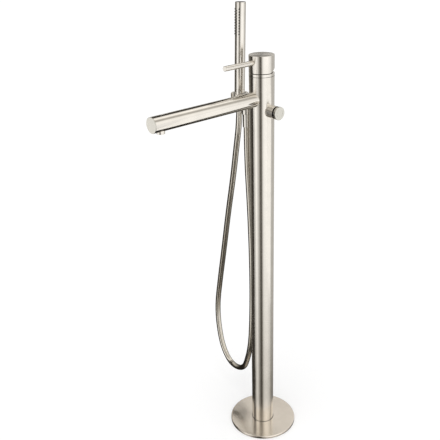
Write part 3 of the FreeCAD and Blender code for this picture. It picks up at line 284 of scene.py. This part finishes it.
def turned_metal(name, colour, axis="Z", centre=(0.0, 0.0, 0.0), rough=0.2, lines=1600.0,
                 wear=0.0008, grain_depth=0.000004, stretch=0.0, shaded_gap=None):
    """Metal brushed round an axis, with faint hand marks and edges rubbed a little brighter.

    stretch draws the shine out across the brushed lines. The last argument gives a narrow gap,
    from low to high along the axis, in which the metal is made rougher and its colour is painted
    near black as painted shade.
    """
    material, tree, surface = new_material(name)
    vector = along_axis(tree, axis, centre)
    grain = tree.nodes.new("ShaderNodeGroup")
    grain.node_tree = TURNED_GRAIN
    grain.inputs["Lines"].default_value = lines
    tree.links.new(vector, grain.inputs["Vector"])
    edge = tree.nodes.new("ShaderNodeGroup")
    edge.node_tree = RUBBED_EDGE
    edge.inputs["Width"].default_value = wear
    dull = tuple(part * MARKS_DULL_TO for part in colour)
    bright = tuple(min(part * EDGES_BRIGHTEN_TO, BRIGHTEST) for part in colour)
    body = two_colours(tree, spread(tree, grain.outputs["Marks"], *TONE_NOISE, 0.0, 1.0), dull,
                       colour)
    body = two_colours(tree, maths(tree, "MULTIPLY", edge.outputs["Edge"], EDGE_SHARE), body,
                       bright)
    polish = spread(tree, grain.outputs["Marks"], *POLISH_NOISE,
                    *(rough * swing for swing in MARKS_POLISH))
    polish = maths(tree, "ADD", polish, spread(tree, grain.outputs["Grain"], *POLISH_NOISE,
                                               *GRAIN_POLISH, smooth=False))
    polish = maths(tree, "SUBTRACT", polish,
                   maths(tree, "MULTIPLY", edge.outputs["Edge"], EDGES_SMOOTHER_BY * rough))
    # Painted shade: inside the gap the colour is painted near black.
    if shaded_gap:
        low, high = shaded_gap
        split = tree.nodes.new("ShaderNodeSeparateXYZ")
        tree.links.new(vector, split.inputs[0])
        along = split.outputs["Z"]
        gap_shade = maths(tree, "MULTIPLY", spread(tree, along, low, low + RECESS_BORDER, 0.0, 1.0),
                       spread(tree, along, high - RECESS_BORDER, high, 1.0, 0.0))
        body = two_colours(tree, gap_shade, body, GAP_PAINTED_SHADE_TONE)
        polish = maths(tree, "ADD", polish, maths(tree, "MULTIPLY", gap_shade, RECESS_ROUGHER_BY))
    tree.links.new(body, surface.inputs["Base Color"])
    tree.links.new(polish, surface.inputs["Roughness"])
    surface.inputs["Metallic"].default_value = 1.0
    surface.inputs["Anisotropic"].default_value = stretch
    surface.inputs["Anisotropic Rotation"].default_value = SHINE_TURN
    bump(tree, grain.outputs["Grain"], surface, distance=grain_depth, strength=0.35)
    return material


HOSE_FILM_TONES = (0.71, 0.665, 0.585), (0.76, 0.715, 0.635)
# Painted shade for the hose's rims: the tone its colour darkens to where the skin is seen
# edgeways.
HOSE_PAINTED_RIM_SHADE = (0.07, 0.063, 0.050)
HOSE_POLISH = (0.16, 0.20)
EDGEWAYS, RIM_SHADE_STRENGTH = (0.28, 0.70), 0.92
MOTTLE_SHARE, FLAKE_SHARE = 0.88, 0.12


def hose_skin():
    """Metal-effect plastic: a silver film under a clear skin, with painted shade on its rims where
    it is seen edgeways.
    """
    material, tree, surface = new_material("hose_metal_effect")
    place = tree.nodes.new("ShaderNodeTexCoord")
    mottle = clouds(tree, place.outputs["Object"], scale=24.0, detail=3.0)
    flakes = clouds(tree, place.outputs["Object"], scale=900.0, detail=2.0)
    share = maths(tree, "ADD", maths(tree, "MULTIPLY", mottle, MOTTLE_SHARE),
                  maths(tree, "MULTIPLY", flakes, FLAKE_SHARE))
    colour = two_colours(tree, spread(tree, share, *TONE_NOISE, 0.0, 1.0), *HOSE_FILM_TONES)
    # Painted shade: the colour darkens towards the rims, by how edgeways the skin is seen.
    glance = tree.nodes.new("ShaderNodeLayerWeight")
    edge = spread(tree, glance.outputs["Facing"], *EDGEWAYS, 0.0, RIM_SHADE_STRENGTH)
    colour = two_colours(tree, edge, colour, HOSE_PAINTED_RIM_SHADE)
    tree.links.new(colour, surface.inputs["Base Color"])
    tree.links.new(spread(tree, share, *SKIN_NOISE, *HOSE_POLISH), surface.inputs["Roughness"])
    surface.inputs["Metallic"].default_value = 1.0
    surface.inputs["Coat Weight"].default_value = 0.08
    surface.inputs["Coat Roughness"].default_value = 0.12
    bump(tree, flakes, surface, distance=0.000002, strength=0.2)
    return material


LIGHTER_BY, LIGHTER_PLUS = 1.12, 0.004
SMOOTH_PITS, ROUGH_PITS = 0.9, 1.12


def moulded(name, colour, rough, pit=700.0, depth=0.00002):
    """Moulded plastic, rubber or ceramic: a fine pitted skin with slight colour drift."""
    material, tree, surface = new_material(name)
    place = tree.nodes.new("ShaderNodeTexCoord")
    pits = clouds(tree, place.outputs["Object"], scale=pit, detail=3.0)
    drift = clouds(tree, place.outputs["Object"], scale=45.0, detail=2.0)
    lighter = tuple(min(part * LIGHTER_BY + LIGHTER_PLUS, 1.0) for part in colour)
    body = two_colours(tree, spread(tree, drift, *SKIN_NOISE, 0.0, 1.0), colour, lighter)
    tree.links.new(body, surface.inputs["Base Color"])
    tree.links.new(spread(tree, pits, *POLISH_NOISE, rough * SMOOTH_PITS,
                          min(rough * ROUGH_PITS, 1.0)), surface.inputs["Roughness"])
    bump(tree, pits, surface, distance=depth, strength=0.3)
    return material


NICKEL = (0.83, 0.794, 0.735)
BRASS = (0.78, 0.62, 0.32)
# A point on each piece's own axis.
SPOUT_AXIS = (0.0, 0.0, 0.854)
LEVER_AXIS = (0.0, 0.0, 0.9307)
KNOB_AXIS = (0.0, 0.0, 0.830)
ARM_AXIS = (0.0, 0.0, 0.841)
CRADLE_AXIS = (-0.070, 0.0, 0.0)
OUTLET_AXIS = (-0.045, -0.003, 0.0)
AERATOR_AXIS = (0.0, -0.263, 0.0)
# Narrow gaps painted dark as shade: the first by height, the second by how far out along X.
SHADED_GAP_UNDER_HANDLE = (0.9013, 0.9025)
SHADED_GAP_BEHIND_KNOB = (0.0443, 0.0490)

column_nickel = turned_metal("nickel_column", NICKEL, rough=0.19, stretch=0.8)
trim_nickel = turned_metal("nickel_trim_ring", NICKEL, rough=0.12, shaded_gap=SHADED_GAP_UNDER_HANDLE)
handle_nickel = turned_metal("nickel_handle", NICKEL, rough=0.19, stretch=0.8)
plate_nickel = turned_metal("nickel_floor_plate", (0.82, 0.757, 0.68), rough=0.2, lines=1200.0,
                            wear=0.0015, stretch=0.6)
spout_nickel = turned_metal("nickel_spout", NICKEL, "Y", SPOUT_AXIS, rough=0.11)
spout_end_nickel = turned_metal("nickel_spout_end", (0.68, 0.66, 0.605), "Y", SPOUT_AXIS,
                                rough=0.24)
lever_nickel = turned_metal("nickel_lever", NICKEL, "Y", LEVER_AXIS, rough=0.2, lines=2200.0)
aerator_nickel = turned_metal("nickel_aerator", NICKEL, "Z", AERATOR_AXIS, rough=0.18)
# The knob's nickel is painted darker than the rest: painted shade for the darker face it shows.
knob_nickel_painted_darker = turned_metal("nickel_knob_painted_shade", (0.65, 0.638, 0.588), "X", KNOB_AXIS, rough=0.2,
                           lines=2200.0, shaded_gap=SHADED_GAP_BEHIND_KNOB)
collar_nickel = turned_metal("nickel_collar", NICKEL, "X", KNOB_AXIS, rough=0.34, lines=2200.0,
                             shaded_gap=SHADED_GAP_BEHIND_KNOB)
arm_nickel = turned_metal("nickel_arm", NICKEL, "X", ARM_AXIS, rough=0.19)
cradle_nickel = turned_metal("nickel_cradle", NICKEL, "Z", CRADLE_AXIS, rough=0.19)
nut_nickel = turned_metal("nickel_hose_nut", NICKEL, "Z", OUTLET_AXIS, rough=0.18)
ferrule_nickel = turned_metal("nickel_ferrule_polished", (0.84, 0.81, 0.755), "Z", OUTLET_AXIS,
                              rough=0.08, grain_depth=0.000001)
wand_nickel = turned_metal("nickel_hand_shower", NICKEL, "Z", CRADLE_AXIS, rough=0.18,
                           lines=2000.0)
# The dome sits dark in the gap: painted shade, with its nickel coloured near black and made
# rougher.
dome_painted_shade = turned_metal("dome_painted_shade_in_gap", (0.05, 0.046, 0.04), rough=0.45)
brass = turned_metal("turned_brass", BRASS, rough=0.26, lines=900.0)
brass_across = turned_metal("turned_brass_across", BRASS, "X", KNOB_AXIS, rough=0.26, lines=900.0,
                            shaded_gap=SHADED_GAP_BEHIND_KNOB)
copper = turned_metal("drawn_copper", (0.80, 0.47, 0.32), rough=0.3, lines=600.0)
steel = turned_metal("machined_steel", (0.62, 0.62, 0.62), rough=0.28, lines=900.0)
hose_film = hose_skin()
rubber = moulded("black_rubber", (0.035, 0.034, 0.032), 0.62)
nozzle_rubber = moulded("nozzle_rubber", (0.012, 0.011, 0.010), 0.7, pit=1500.0)
ceramic = moulded("lapped_ceramic", (0.90, 0.90, 0.87), 0.18, pit=1800.0, depth=0.000003)
white_plastic = moulded("white_acetal", (0.84, 0.84, 0.82), 0.4)
grey_plastic = moulded("grey_plastic", (0.36, 0.35, 0.33), 0.45)

FINISHES = {
    "column_tube": column_nickel, "trim_ring": trim_nickel, "handle_cap": handle_nickel,
    "base_cover": plate_nickel, "spout_tube": spout_nickel, "spout_end": spout_end_nickel,
    "lever_rod": lever_nickel, "aerator_sleeve": aerator_nickel, "diverter_knob": knob_nickel_painted_darker,
    "diverter_collar": collar_nickel, "holder_arm": arm_nickel, "cradle_ring": cradle_nickel,
    "root_hose_nut": nut_nickel, "root_hose_ferrule": ferrule_nickel,
    "hose_cone_nut": wand_nickel, "handset_tube": wand_nickel, "handset_cap": wand_nickel,
    "dome_cover": dome_painted_shade, "diverter_spindle": brass_across, "diverter_bonnet": brass_across,
    "nozzle_strip": nozzle_rubber, "hose": hose_film,
}
BY_SLOT = {
    "brushed_nickel": column_nickel, "polished_nickel": ferrule_nickel, "hose_skin": hose_film,
    "brass": brass, "copper": copper, "steel": steel, "ceramic": ceramic,
    "valve_plastic": white_plastic, "grey_plastic": grey_plastic, "rubber": rubber,
}


def dress_nodes():
    """Gives every carried-over piece its finish: its own where it has one, else its slot's."""
    slots = {part["node"]: part["material_slot"] for part in frame["record"]["subparts"]}
    for name, piece in frame["nodes"].items():
        finish = FINISHES.get(name) or BY_SLOT[slots[name]]
        if not piece.material_slots:
            piece.data.materials.append(finish)
        for slot in piece.material_slots:
            slot.material = finish
    shower_hose.data.materials.append(hose_film)


dress_nodes()

# ---- Studio -----------------------------------------------------------------------------------

# How much of its green and of its blue a dark grey loses.
GREEN_LOSS, BLUE_LOSS = 0.08, 0.22


def warm(level, tint):
    """A grey of the studio's surroundings: neutral when bright, a little brown when dark."""
    depth = tint + max(1.0 - level, 0.0) ** 2
    return (level, level * (1.0 - GREEN_LOSS * depth), level * (1.0 - BLUE_LOSS * depth), 1.0)


# What the metal sees round about, by bearing in degrees from +X towards +Y: dark screens and
# bright sheets near the floor, low down, at eye height and overhead.
FLOOR_RING = [
    (-180, 0.08), (-150, 0.05), (-128, 0.34), (-112, 0.68), (-98, 0.70), (-84, 0.36), (-70, 0.09),
    (-56, 0.05), (-44, 0.18), (-28, 0.60), (-12, 0.74), (6, 0.72), (24, 0.58), (44, 0.32),
    (70, 0.16), (100, 0.08), (140, 0.06), (165, 0.08),
]
LOW_RING = [
    (-180, 0.20), (-168, 0.12), (-154, 0.12), (-140, 0.22), (-124, 0.66), (-112, 0.74),
    (-102, 1.25), (-88, 1.13), (-74, 0.60), (-63, 0.24), (-52, 0.05), (-42, 0.34), (-33, 0.98),
    (-20, 1.18), (8, 1.23), (26, 1.08), (38, 0.98), (46, 0.90), (54, 0.66), (68, 0.54), (92, 0.58),
    (125, 0.40), (160, 0.28),
]
MIDDLE_RING = [
    (-180, 0.66), (-150, 0.55), (-128, 0.56), (-112, 1.00), (-98, 1.15), (-84, 0.78), (-68, 0.34),
    (-54, 0.24), (-42, 0.50), (-28, 0.96), (-8, 1.22), (20, 1.18), (36, 1.14), (42, 1.08),
    (48, 0.60), (56, 0.44), (64, 0.60), (76, 0.95), (95, 0.95), (115, 0.80), (130, 0.64),
    (150, 0.62), (165, 0.62),
]
TOP_RING = [
    (-180, 0.75), (-150, 0.60), (-128, 0.56), (-112, 0.95), (-98, 1.10), (-84, 0.78), (-68, 0.38),
    (-54, 0.28), (-42, 0.50), (-28, 0.92), (-8, 1.10), (30, 0.80), (46, 0.50), (56, 0.50),
    (66, 0.72), (78, 1.15), (92, 1.28), (106, 1.00), (120, 0.84), (140, 0.84), (160, 0.75),
]
FLOOR_TINT = 0.5
# Each ring above the floor's, its tint, and the heights in degrees between which it takes over.
HIGHER_RINGS = [
    (LOW_RING, 0.08, (-42.0, -30.0)), (MIDDLE_RING, 0.2, (-2.0, 16.0)),
    (TOP_RING, 0.3, (30.0, 46.0)),
]
CEILING_TONE, CEILING_HEIGHTS = (0.9, 0.89, 0.88), (60.0, 85.0)
# Downwards the studio darkens in two steps: two heights in degrees, and the strength at each.
DARK_BELOW = (-54.0, -40.0, 0.08, 1.0)
DIM_BELOW = (-36.0, -20.0, 0.87, 1.0)
LIGHT_ON_DULL_FACES = 0.85
LIGHT_TO_CAMERA = 1.0


def ring_of_screens(tree, bearing, stops, tint):
    """One ring's tones round the bearing, which runs from 0 at -180 degrees to 1 at 180."""
    ramp = tree.nodes.new("ShaderNodeValToRGB")
    ramp.color_ramp.interpolation = "EASE"
    marks = ramp.color_ramp.elements
    while len(marks) < len(stops):
        marks.new(0.5)
    for mark, (degrees, _) in zip(marks, stops):
        mark.position = (degrees + 180.0) / 360.0
    for mark, (_, level) in zip(marks, stops):
        mark.color = warm(level, tint)
    tree.links.new(bearing, ramp.inputs["Fac"])
    return ramp.outputs["Color"]


def white_light(tree, strength):
    node = tree.nodes.new("ShaderNodeBackground")
    node.inputs["Color"].default_value = (1.0, 1.0, 1.0, 1.0)
    node.inputs["Strength"].default_value = strength
    return node.outputs[0]


def either(tree, ray, otherwise, light):
    """The light for this kind of ray, and the other one for the rest."""
    node = tree.nodes.new("ShaderNodeMixShader")
    feed(tree, node, ray, otherwise, light)
    return node.outputs[0]


def surround_studio():
    """The rings for shiny faces, an even light for dull ones, and white for the camera."""
    world = bpy.data.worlds.new("studio")
    bpy.context.scene.world = world
    world.use_nodes = True
    world.cycles.sampling_method = "NONE"
    tree = world.node_tree
    tree.nodes.clear()
    way = tree.nodes.new("ShaderNodeTexCoord")
    split = tree.nodes.new("ShaderNodeSeparateXYZ")
    tree.links.new(way.outputs["Generated"], split.inputs[0])
    x, y, z = split.outputs
    rise = maths(tree, "MULTIPLY", maths(tree, "ARCSINE", z), 180.0 / math.pi)
    bearing = maths(tree, "MULTIPLY", maths(tree, "ARCTAN2", y, x), 0.5 / math.pi)
    around = maths(tree, "FRACT", maths(tree, "ADD", bearing, 1.5))
    view = ring_of_screens(tree, around, FLOOR_RING, FLOOR_TINT)
    for stops, tint, heights in HIGHER_RINGS:
        ring = ring_of_screens(tree, around, stops, tint)
        view = two_colours(tree, spread(tree, rise, *heights, 0.0, 1.0), view, ring)
    view = two_colours(tree, spread(tree, rise, *CEILING_HEIGHTS, 0.0, 1.0), view, CEILING_TONE)
    strength = maths(tree, "MULTIPLY", spread(tree, rise, *DARK_BELOW),
                     spread(tree, rise, *DIM_BELOW))
    seen = tree.nodes.new("ShaderNodeBackground")
    feed(tree, seen, view, strength)
    path = tree.nodes.new("ShaderNodeLightPath")
    on_faces = either(tree, path.outputs["Is Glossy Ray"], white_light(tree, LIGHT_ON_DULL_FACES),
                      seen.outputs[0])
    everywhere = either(tree, path.outputs["Is Camera Ray"], on_faces,
                        white_light(tree, LIGHT_TO_CAMERA))
    end = tree.nodes.new("ShaderNodeOutputWorld")
    tree.links.new(everywhere, end.inputs["Surface"])


def flat_sheet(name, centre, across, up, material):
    """A flat sheet: its middle, and its half sides as two vectors."""
    mesh = bmesh.new()
    bmesh.ops.create_grid(mesh, x_segments=1, y_segments=1, size=1.0)
    across, up = Vector(across), Vector(up)
    out = across.cross(up).normalized()
    place = Matrix((across, up, out)).transposed().to_4x4()
    bmesh.ops.transform(mesh, matrix=Matrix.Translation(centre) @ place, verts=mesh.verts)
    data = bpy.data.meshes.new(name)
    mesh.to_mesh(data)
    mesh.free()
    data.materials.append(material)
    sheet = bpy.data.objects.new(name, data)
    bpy.context.scene.collection.objects.link(sheet)
    return sheet


FLOOR_HALF_SIDE, FLOOR_LEVEL = 40.0, -0.0005
FLOOR_TONES = (0.975, 0.975, 0.975), (0.985, 0.985, 0.985)


def lay_floor():
    """A white floor that takes the part's soft shadow and that the metal doesn't show."""
    material, tree, surface = new_material("studio_floor")
    place = tree.nodes.new("ShaderNodeTexCoord")
    drift = clouds(tree, place.outputs["Object"], scale=1.5, detail=2.0)
    tree.links.new(two_colours(tree, drift, *FLOOR_TONES), surface.inputs["Base Color"])
    surface.inputs["Roughness"].default_value = 1.0
    surface.inputs["Specular IOR Level"].default_value = 0.0
    floor = flat_sheet("studio_floor", (0.0, 0.0, FLOOR_LEVEL), (FLOOR_HALF_SIDE, 0.0, 0.0),
                       (0.0, FLOOR_HALF_SIDE, 0.0), material)
    floor.visible_glossy = False


def glowing(name, colour):
    """A sheet's own even tone, whatever light falls on it."""
    material = bpy.data.materials.new(name)
    material.use_nodes = True
    tree = material.node_tree
    tree.nodes.clear()
    glow = tree.nodes.new("ShaderNodeEmission")
    glow.inputs["Color"].default_value = (*colour, 1.0)
    end = tree.nodes.new("ShaderNodeOutputMaterial")
    tree.links.new(glow.outputs[0], end.inputs["Surface"])
    return material


def level_way(length, degrees):
    """A level vector of this length at this bearing."""
    bearing = math.radians(degrees)
    return length * math.cos(bearing), length * math.sin(bearing), 0.0


SIDE_BEARING = 130.6
OVER_DISTANCE, OVER_LEAN = 0.8, math.radians(133.5)
OVER_HALF_LENGTH, OVER_HALF_WIDTH = 0.36, 0.29
DARK_TONE = (0.040, 0.036, 0.030)
BRIGHT_TONE = (1.12, 1.11, 1.09)

# Name, middle and half sides. The side screens make the dark left band of the column and the
# hand shower, the cloth the left edge of the foot and the hose's underside, the one over the
# spout its dark upper line, the card the rim of the hand shower's top, and the bar the streak
# on the floor plate.
DARK_SCREENS = [
    ("dark_screen_side", (-0.371, -0.317, 0.2), level_way(0.106, SIDE_BEARING), (0.0, 0.0, 0.78)),
    ("dark_screen_side_upper", (-0.2955, -0.4051, 0.485), level_way(0.012, SIDE_BEARING),
     (0.0, 0.0, 0.365)),
    ("dark_cloth_beside_foot", (-0.394, -0.035, 0.001), (0.306, 0.0, 0.0), (0.0, 0.165, 0.0)),
    ("dark_screen_over",
     (OVER_DISTANCE * math.cos(OVER_LEAN), 0.45,
      SPOUT_AXIS[2] + OVER_DISTANCE * math.sin(OVER_LEAN)),
     (0.0, OVER_HALF_LENGTH, 0.0),
     (-OVER_HALF_WIDTH * math.sin(OVER_LEAN), 0.0, OVER_HALF_WIDTH * math.cos(OVER_LEAN))),
    ("dark_card_behind", (-0.293, 0.207, 1.062), (0.0335, 0.037, 0.0), (0.0, 0.0, 0.03)),
    ("dark_bar_behind", (-0.231, 0.131, 0.214), (0.032, -0.0105, 0.0025),
     (-0.0036, -0.0106, 0.0051)),
]

# These whiten the spout's lower half, the spout's end and the lever's end.
BRIGHT_CARDS = [
    ("bright_card_spout", (0.228, 0.067, 0.554), (-0.083, 0.086, 0.0), (0.0, 0.0, 0.30)),
    ("bright_card_end", (-0.130, -0.405, 0.795), (0.055, -0.059, 0.0), (0.0, 0.0, 0.07)),
    ("bright_card_lever", (-0.097, -0.183, 0.904), (0.0129, -0.0153, 0.0), (0.0, 0.0, 0.018)),
]


def hang_sheets(sheets, material):
    """Sheets that only the metal sees, as a photographer sets them beside the work."""
    for name, centre, across, up in sheets:
        sheet = flat_sheet(name, centre, across, up, material)
        sheet.visible_camera = False
        sheet.visible_diffuse = False
        sheet.visible_shadow = False
        sheet.visible_transmission = False


KEY_STRENGTH = 0.75
KEY_SPREAD = math.radians(50.0)
KEY_FROM = (0.35, -0.5, 1.6)


def light_studio():
    """One wide soft lamp for the faces that don't mirror; the metal doesn't show it."""
    soft = bpy.data.lights.new("soft_key", "SUN")
    soft.energy = KEY_STRENGTH
    soft.angle = KEY_SPREAD
    lamp = bpy.data.objects.new("soft_key", soft)
    bpy.context.scene.collection.objects.link(lamp)
    lamp.matrix_world = Vector(KEY_FROM).to_track_quat("Z", "Y").to_matrix().to_4x4()
    lamp.visible_glossy = False


surround_studio()
lay_floor()
hang_sheets(DARK_SCREENS, glowing("dark_screen", DARK_TONE))
hang_sheets(BRIGHT_CARDS, glowing("bright_card", BRIGHT_TONE))
light_studio()
bpy.context.scene.view_settings.view_transform = "Standard"
